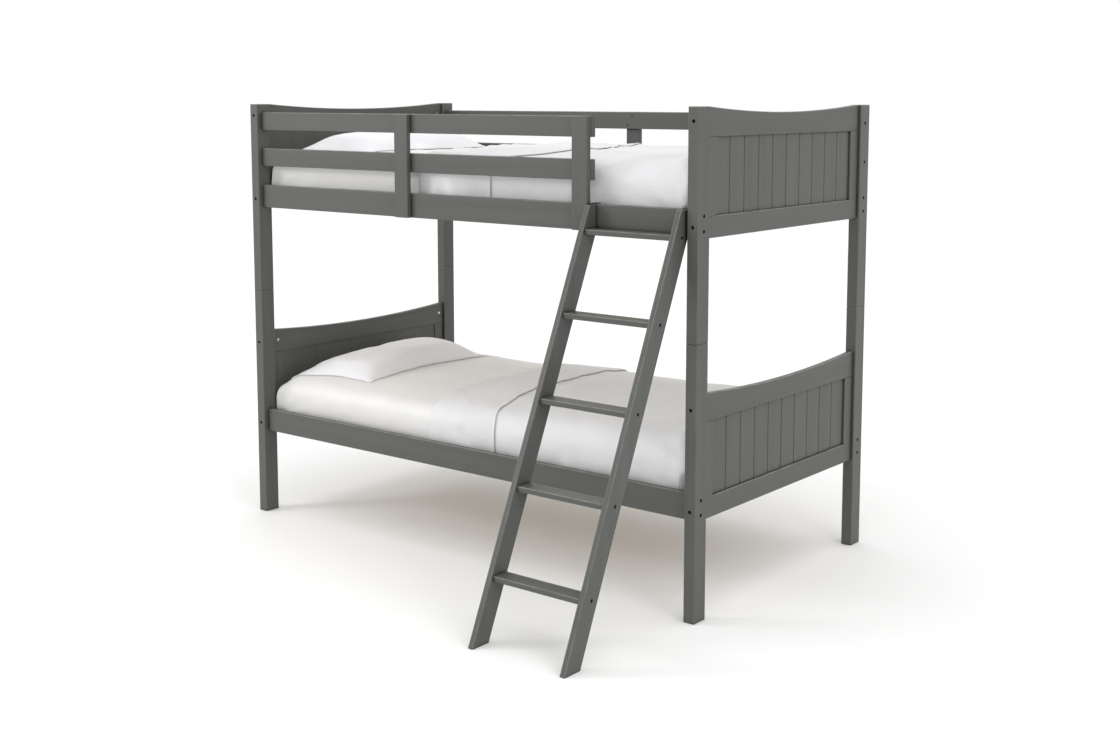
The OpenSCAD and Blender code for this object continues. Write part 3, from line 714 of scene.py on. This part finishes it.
class QuiltShell:
    """Middle surface of a quilt: body over the mattress, drop at the foot, fold and turned-back flap.

    Row m runs along X at one place of the path round the mattress, and column i is one of the lattice's.
    """

    def __init__(self, bed, mattress, lattice):
        self.bed, self.lattice = bed, lattice
        self.low, self.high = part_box(bed.level + "_quilt")
        self.mid_y = (self.low.y + self.high.y) / 2
        self.half_y = (self.high.y - self.low.y) / 2
        mesh = mattress.data
        mesh.update()
        self.spots = [v.co.copy() for v in mesh.vertices]
        self.normals = [v.normal.copy() for v in mesh.vertices]
        nx, ny, nz = lattice.nx, lattice.ny, lattice.nz
        self.first = min(range(nx + 1), key=lambda i: abs(lattice.point(i, 0, nz).x - bed.fold_x))
        self.skirt = min(range(nz + 1), key=lambda k: abs(lattice.point(0, 0, k).z - self.low.z))
        self.path = [(0, k) for k in range(self.skirt, nz + 1)]
        self.path += [(j, nz) for j in range(1, ny + 1)]
        self.path += [(ny, k) for k in range(nz - 1, self.skirt - 1, -1)]
        self.last = len(self.path) - 1
        self.points, self.faces, self.at, self.body = [], [], {}, {}
        self.lay_body()
        self.lay_foot()
        self.lay_flap()

    def point(self, key, place):
        self.at[key] = len(self.points)
        self.points.append(place)

    def outer(self, i, j, k):
        """Point on the quilt's middle surface over a point of the mattress, and the normal there."""
        bed, seed = self.bed, self.bed.seed
        n = self.lattice.index[i, j, k]
        p, normal = self.spots[n], self.normals[n]
        up = smoothstep(normal.z)
        rim = smoothstep((self.half_y - abs(p.y - self.mid_y)) / LOFT_RIM)
        rim *= smoothstep((self.high.x - p.x) / LOFT_RIM)
        past_fold = smoothstep((p.x - bed.fold_x) / 0.30)
        loft = LOFT_LEAST + up * rim * (LOFT_TOP + LOFT_PAST_FOLD * past_fold)
        loft += up * QUILT_WAVES * (0.4 + 0.6 * rim) * (ripple(p, seed, (3.1, 3.6, 1.0)) + 0.6)
        loft += up * bed.rumple * LONG_CREASES * crease(p, seed + 11, (2.2, 7.0, 2.0), 6)
        loft += up * bed.rumple * CROSS_CREASES * crease(p, seed + 14, (6.0, 2.6, 3.0), 4)
        past_hem = smoothstep((p.x - bed.hem_front + 0.01) / 0.05)
        folds = 0.75 * ripple(p, seed + 30, (8.5, 2.0, 1.3))
        folds += 0.45 * ripple(p, seed + 31, (19.0, 4.0, 2.4))
        near_foot = smoothstep((p.x - self.high.x + 0.45) / 0.3)
        folds += 0.5 * crease(p, seed + 33, (10.0, 3.0, 2.2), 4) * near_foot
        loft += (1 - up) * past_hem * SIDE_FOLDS * (1.0 + folds)
        loft += (1 - up) * (1 - past_hem) * FLAP_SIDE_WAVES * (folds - 0.4)
        loft += smoothstep(normal.x) * max(0.0, self.high.x - FOOT_GAP - p.x - loft)
        drawn = smoothstep((p.y - self.low.y - 0.05) / 0.22)
        drawn *= 1 - smoothstep((p.x - bed.fold_x) / 0.20)
        return p + normal * loft - Vector((bed.fold_bow * drawn, 0, 0)), normal

    def lay_body(self):
        """The part that lies over the top and down both sides."""
        at = self.at
        for i in range(self.first, self.lattice.nx + 1):
            for m, (j, k) in enumerate(self.path):
                self.body[i, m] = self.outer(i, j, k)
                self.point(("body", i, m), self.body[i, m][0])
        for i in range(self.first, self.lattice.nx):
            for m in range(self.last):
                corners = ((i, m), (i + 1, m), (i + 1, m + 1), (i, m + 1))
                self.faces.append([at["body", *corner] for corner in corners])

    def lay_foot(self):
        """The part that drops over the foot of the mattress."""
        nx, ny, nz = self.lattice.nx, self.lattice.ny, self.lattice.nz
        for j in range(1, ny):
            for k in range(self.skirt, nz):
                self.point(("foot", j, k), self.outer(nx, j, k)[0])

        def foot(j, k):
            if k == nz:
                return self.at["body", nx, (nz - self.skirt) + j]
            if j == 0:
                return self.at["body", nx, k - self.skirt]
            if j == ny:
                return self.at["body", nx, self.last - (k - self.skirt)]
            return self.at["foot", j, k]

        for j in range(ny):
            for k in range(self.skirt, nz):
                self.faces.append([foot(j, k), foot(j + 1, k), foot(j + 1, k + 1), foot(j, k + 1)])

    def along_row(self, m, x):
        """Point and normal at x on the row m of the quilt's body."""
        end = self.lattice.nx - 1
        i = next((i for i in range(self.first, end) if self.body[i + 1, m][0].x >= x), end)
        (p, p_normal), (q, q_normal) = self.body[i, m], self.body[i + 1, m]
        t = min(1.0, max(0.0, (x - p.x) / (q.x - p.x)))
        return p.lerp(q, t), p_normal.lerp(q_normal, t).normalized()

    def hem_x(self, m):
        """Where the hem of the turned-back part crosses the row m."""
        bed = self.bed
        share = m / self.last
        wander = HEM_WANDER * noise.noise(Vector((m * 0.09, bed.seed, 0.0)))
        hem = bed.hem_front + (bed.hem_rear - bed.hem_front) * smoothstep((share - 0.10) / 0.42) + wander
        curve = smoothstep((share - 0.13) / 0.16) * (1 - smoothstep((share - 0.29) / 0.45))
        return hem + bed.hem_swing * curve

    def lay_flap(self):
        """The fold, and the part turned back from it to the hem."""
        for m in range(len(self.path)):
            hem = self.hem_x(m)
            start, normal = self.body[self.first, m]
            for n in range(1, FOLD_STEPS):
                angle = math.pi * n / FOLD_STEPS
                rise = FLAP_LIFT / 2 * (1 - math.cos(angle))
                back = FLAP_LIFT / 2 * math.sin(angle)
                self.point(("fold", n, m), start + normal * rise - Vector((back, 0, 0)))
            for n in range(FLAP_STEPS + 1):
                t = 1 - (1 - n / FLAP_STEPS) ** HEM_CROWDING
                place, normal = self.along_row(m, start.x + (hem - start.x) * t)
                swell = 1 + ripple(place, self.bed.seed + 9, (6, 6, 6))
                puff = FLAP_PUFF * math.sin(math.pi * min(1.0, t * 1.02)) * swell
                stitch = STITCH_DEPTH if n == FLAP_STEPS - 2 else 0.0
                self.point(("flap", n, m), place + normal * (FLAP_LIFT + puff - stitch))

        def strip(m):
            row = [("body", self.first, m)]
            row += [("fold", n, m) for n in range(1, FOLD_STEPS)]
            row += [("flap", n, m) for n in range(FLAP_STEPS + 1)]
            return [self.at[key] for key in row]

        for m in range(self.last):
            here, there = strip(m), strip(m + 1)
            for n in range(len(here) - 1):
                self.faces.append([here[n], there[n], there[n + 1], here[n + 1]])


def quilt_piece(bed, mattress, lattice):
    """Thin quilt over the foot part of the mattress, turned back at the fold to a stitched hem."""
    shell = QuiltShell(bed, mattress, lattice)
    low, high, mid_y, half_y = shell.low, shell.high, shell.mid_y, shell.half_y
    piece = make(bed.level + "_quilt_turned_back", shell.points, shell.faces, QUILT)
    limit = half_y + SIDE_PROUD
    hold_in(piece.data, (-math.inf, mid_y - limit), (high.x + FOOT_PROUD, mid_y + limit))
    solid = piece.modifiers.new("Thickness", "SOLIDIFY")
    solid.thickness = CLOTH_THICK
    solid.offset = 0.0
    solid.use_rim = True
    bake(piece)
    subdivide(piece)
    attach(piece, bed.level + "_bed")
    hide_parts(bed.level + "_quilt")


# ---------------------------------------------------------------- pillows

PILLOW_CELLS = (36, 70)
FLAT_SHARE = (1.05, 1.04)  # the flat case against the stuffed pillow, along X and Y
CASE_SIDE_PULL, CASE_END_PULL = 0.035, 0.020  # how far they draw in between the corners, as a share
LENS = 0.030  # half the case's thickness before it swells
UNDERSIDE = 0.010  # from the seam down to the underside's middle, before it lies flat
PILLOW_GAP = 0.0015
WOBBLE, DENTS, PILLOW_CREASES = 0.004, 0.006, 0.0015
PILLOW_SIDE = Vector((0.181, 0.039, 0.0))  # half the pillow's width, turned as it lies
PILLOW_END = Vector((-0.017, 0.353, 0.0))  # half its length
SEAM_RISE = 0.0025
SEAM_RADIUS = 0.0012
SEAM_SIDES = 6
RELAX_ROUNDS = 14


def relax(mesh, rim, corners):
    """Softens small wrinkles by moving points toward their neighbours, and the rim's only along it."""
    near = [[] for _ in mesh.vertices]
    for edge in mesh.edges:
        a, b = edge.vertices
        if (a in rim) == (b in rim) or a not in rim:
            near[a].append(b)
        if (a in rim) == (b in rim) or b not in rim:
            near[b].append(a)
    for _ in range(RELAX_ROUNDS):
        old = [v.co.copy() for v in mesh.vertices]
        for vertex, others in zip(mesh.vertices, near):
            middle = sum((old[k] for k in others), Vector()) / len(others)
            vertex.co = old[vertex.index].lerp(middle, 0.5)
        for k in corners:
            mesh.vertices[k].co = old[k]
    mesh.update()


def pillow_form(bed, wide, long):
    """Pillow swelled from two flat panels by simulation, its upper panel's points and its rim's."""
    nx, ny = PILLOW_CELLS
    points, faces, top_at, bottom_at = [], [], {}, {}
    for i in range(nx + 1):
        for j in range(ny + 1):
            u, v = 2 * i / nx - 1, 2 * j / ny - 1
            body = max(0.0, (1 - abs(u) ** 2.6) * (1 - abs(v) ** 3.4))
            lens = LENS * body**0.55
            x = u * wide / 2 * (1 - CASE_SIDE_PULL * (1 - v * v))
            y = v * long / 2 * (1 - CASE_END_PULL * (1 - u * u))
            wobble = WOBBLE * body * noise.noise(Vector((u * 3 + bed.seed, v * 4, bed.seed)))
            top_at[i, j] = len(points)
            points.append(Vector((x, y, lens + wobble)))
            if i in (0, nx) or j in (0, ny):
                bottom_at[i, j] = top_at[i, j]
            else:
                bottom_at[i, j] = len(points)
                points.append(Vector((x, y, -lens)))
    for i in range(nx):
        for j in range(ny):
            cell = [(i, j), (i + 1, j), (i + 1, j + 1), (i, j + 1)]
            faces.append([top_at[c] for c in cell])
            faces.append([bottom_at[c] for c in reversed(cell)])
    piece = make(bed.level + "_pillow_in_case", points, faces, PILLOW)
    simulate(piece, pressure=9.0, frames=24, cap=0.060, shrink=-0.004, stiffness=14.0, bending=0.25)
    return piece, top_at, set(bottom_at.values()) & set(top_at.values())


def pillow_piece(bed, mattress):
    """Stuffed pillow in a cotton case, at rest on the mattress, with a seam all round."""
    low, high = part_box(bed.level + "_pillow")
    size = high - low
    wide, long = size.x * FLAT_SHARE[0], size.y * FLAT_SHARE[1]
    piece, top_at, rim = pillow_form(bed, wide, long)
    mesh = piece.data
    zs = [v.co.z for v in mesh.vertices]
    tallest, lowest = max(zs), min(zs)
    nx, ny = PILLOW_CELLS
    relax(mesh, rim, [top_at[i, j] for i in (0, nx) for j in (0, ny)])
    corner = mesh.vertices[top_at[nx, ny]].co.copy()
    centre = (low + high) / 2 + Vector(bed.pillow_move)
    under = BVHTree.FromObject(mattress, bpy.context.evaluated_depsgraph_get())
    for vertex in mesh.vertices:
        x, y, up = vertex.co
        edge = smoothstep(1 - max(abs(x) * 2 / wide, abs(y) * 2 / long))
        place = centre + x / corner.x * PILLOW_SIDE + y / corner.y * PILLOW_END
        hit = under.ray_cast(Vector((place.x, place.y, high.z + 0.2)), Vector((0, 0, -1)))[0]
        rest = hit.z if hit else low.z
        # the underside lies flat on the mattress, and the seam stays just above it
        if up > 0:
            height = SEAM_RISE + up / tallest * (size.z - SEAM_RISE)
        else:
            height = SEAM_RISE + up / -lowest * UNDERSIDE
        # the rim and the front end are the thinnest
        height *= 0.6 + 0.4 * smoothstep(edge * 4)
        height *= 0.74 + 0.26 * smoothstep(y / long + 0.5 + 0.12)
        if up > 0:
            spot = (place.x, place.y, up)
            height += DENTS * ripple(spot, bed.seed + 2, (5, 4, 2)) * smoothstep(edge * 3)
            height += PILLOW_CREASES * crease(spot, bed.seed + 6, (5, 9, 3), 4) * smoothstep(edge * 5)
        vertex.co = Vector((place.x, place.y, rest + PILLOW_GAP + max(0.0, height)))
    mesh.update()
    ring = [(i, 0) for i in range(nx)] + [(nx, j) for j in range(ny)]
    ring += [(i, ny) for i in range(nx, 0, -1)] + [(0, j) for j in range(ny, 0, -1)]
    loop = [mesh.vertices[top_at[c]].co.copy() for c in ring]
    subdivide(piece)
    bake(piece)
    seam = tube(bed.level + "_pillow_seam", loop, SEAM_RADIUS, PILLOW)
    seam.parent = piece
    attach(piece, bed.level + "_pillow_body")
    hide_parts(bed.level + "_pillow")


def tube(name, loop, radius, material):
    """Closed cord-like seam along a loop of points."""
    points, faces = [], []
    count = len(loop)
    for n, p in enumerate(loop):
        ahead = (loop[(n + 1) % count] - loop[n - 1]).normalized()
        side = ahead.cross(Vector((0, 0, 1))).normalized()
        up = side.cross(ahead)
        for s in range(SEAM_SIDES):
            angle = math.tau * s / SEAM_SIDES
            points.append(p + side * (radius * math.cos(angle)) + up * (radius * math.sin(angle)))
    for n in range(count):
        for s in range(SEAM_SIDES):
            a, b = n * SEAM_SIDES, (n + 1) % count * SEAM_SIDES
            t = (s + 1) % SEAM_SIDES
            faces.append([a + s, a + t, b + t, b + s])
    return make(name, points, faces, material)


for bed in (LOWER_BED, UPPER_BED):
    mattress, lattice = mattress_piece(bed)
    quilt_piece(bed, mattress, lattice)
    subdivide(mattress)
    bake(mattress)
    pillow_piece(bed, mattress)


# ---------------------------------------------------------------- studio

FLOOR_HALF, FLOOR_CELLS = 14.0, 28
FLOOR_DROP = 0.0005  # keeps the floor just under the feet
CAMERA_PLACE = Vector((3.3815, -4.1627, 1.6009))  # X and Y from the bed's middle, Z from the floor
CAMERA_DOWN, CAMERA_TURN = 6.866, 38.616  # degrees below level, and from +Y to -X
CAMERA_LENS, CAMERA_SENSOR = 47.145, 36.0  # millimetres
CAMERA_SHIFT = -0.09


def floor():
    n = FLOOR_CELLS
    marks = [FLOOR_HALF * (2 * i / n - 1) for i in range(n + 1)]
    points = [(x, y, -FLOOR_DROP) for x in marks for y in marks]
    faces = []
    for i in range(n):
        for j in range(n):
            a, b = i * (n + 1) + j, (i + 1) * (n + 1) + j
            faces.append([a, b, b + 1, a + 1])
    make("studio_floor", points, faces, floor_material(), smooth=False)


def softbox(name, place, target, width, height, power):
    data = bpy.data.lights.new(name, "AREA")
    data.shape = "RECTANGLE"
    data.size, data.size_y = width, height
    data.energy = power
    lamp = bpy.data.objects.new(name, data)
    scene.collection.objects.link(lamp)
    lamp.location = place
    lamp.rotation_euler = (Vector(target) - Vector(place)).to_track_quat("-Z", "Y").to_euler()


def ceiling_light(strength, spread, tilt_x, tilt_y):
    """Even light from above that covers the whole floor, like a large silk. Angles are in degrees."""
    data = bpy.data.lights.new("ceiling", "SUN")
    data.energy = strength
    data.angle = math.radians(spread)
    lamp = bpy.data.objects.new("ceiling", data)
    scene.collection.objects.link(lamp)
    lamp.location = (0.0, 0.0, 5.0)
    lamp.rotation_euler = (math.radians(tilt_x), math.radians(tilt_y), 0.0)


def white_world():
    world = bpy.data.worlds.new("studio")
    scene.world = world
    world.use_nodes = True
    backdrop = world.node_tree.nodes["Background"]
    backdrop.inputs["Color"].default_value = (1.0, 1.0, 1.0, 1.0)
    backdrop.inputs["Strength"].default_value = 1.0


def place_camera():
    bed_low, bed_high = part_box("lower_post_head_front")[0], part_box("upper_post_foot_rear")[1]
    middle = (bed_low + bed_high) / 2
    data = bpy.data.cameras.new("camera")
    data.sensor_width = CAMERA_SENSOR
    data.lens = CAMERA_LENS
    data.shift_y = CAMERA_SHIFT
    data.clip_end = 60.0
    camera = bpy.data.objects.new("camera", data)
    scene.collection.objects.link(camera)
    scene.camera = camera
    camera.location = Vector((middle.x, middle.y, 0.0)) + CAMERA_PLACE
    camera.rotation_euler = (math.radians(90 - CAMERA_DOWN), 0.0, math.radians(CAMERA_TURN))


floor()
softbox("key_left", (-3.4, -3.4, 2.6), (0.0, -0.3, 1.1), width=1.2, height=1.0, power=56)
softbox("fill_right", (4.4, -1.6, 3.2), (-0.7, 0.0, 1.1), width=1.8, height=1.4, power=26)
ceiling_light(strength=0.75, spread=70, tilt_x=6, tilt_y=10)
white_world()
place_camera()
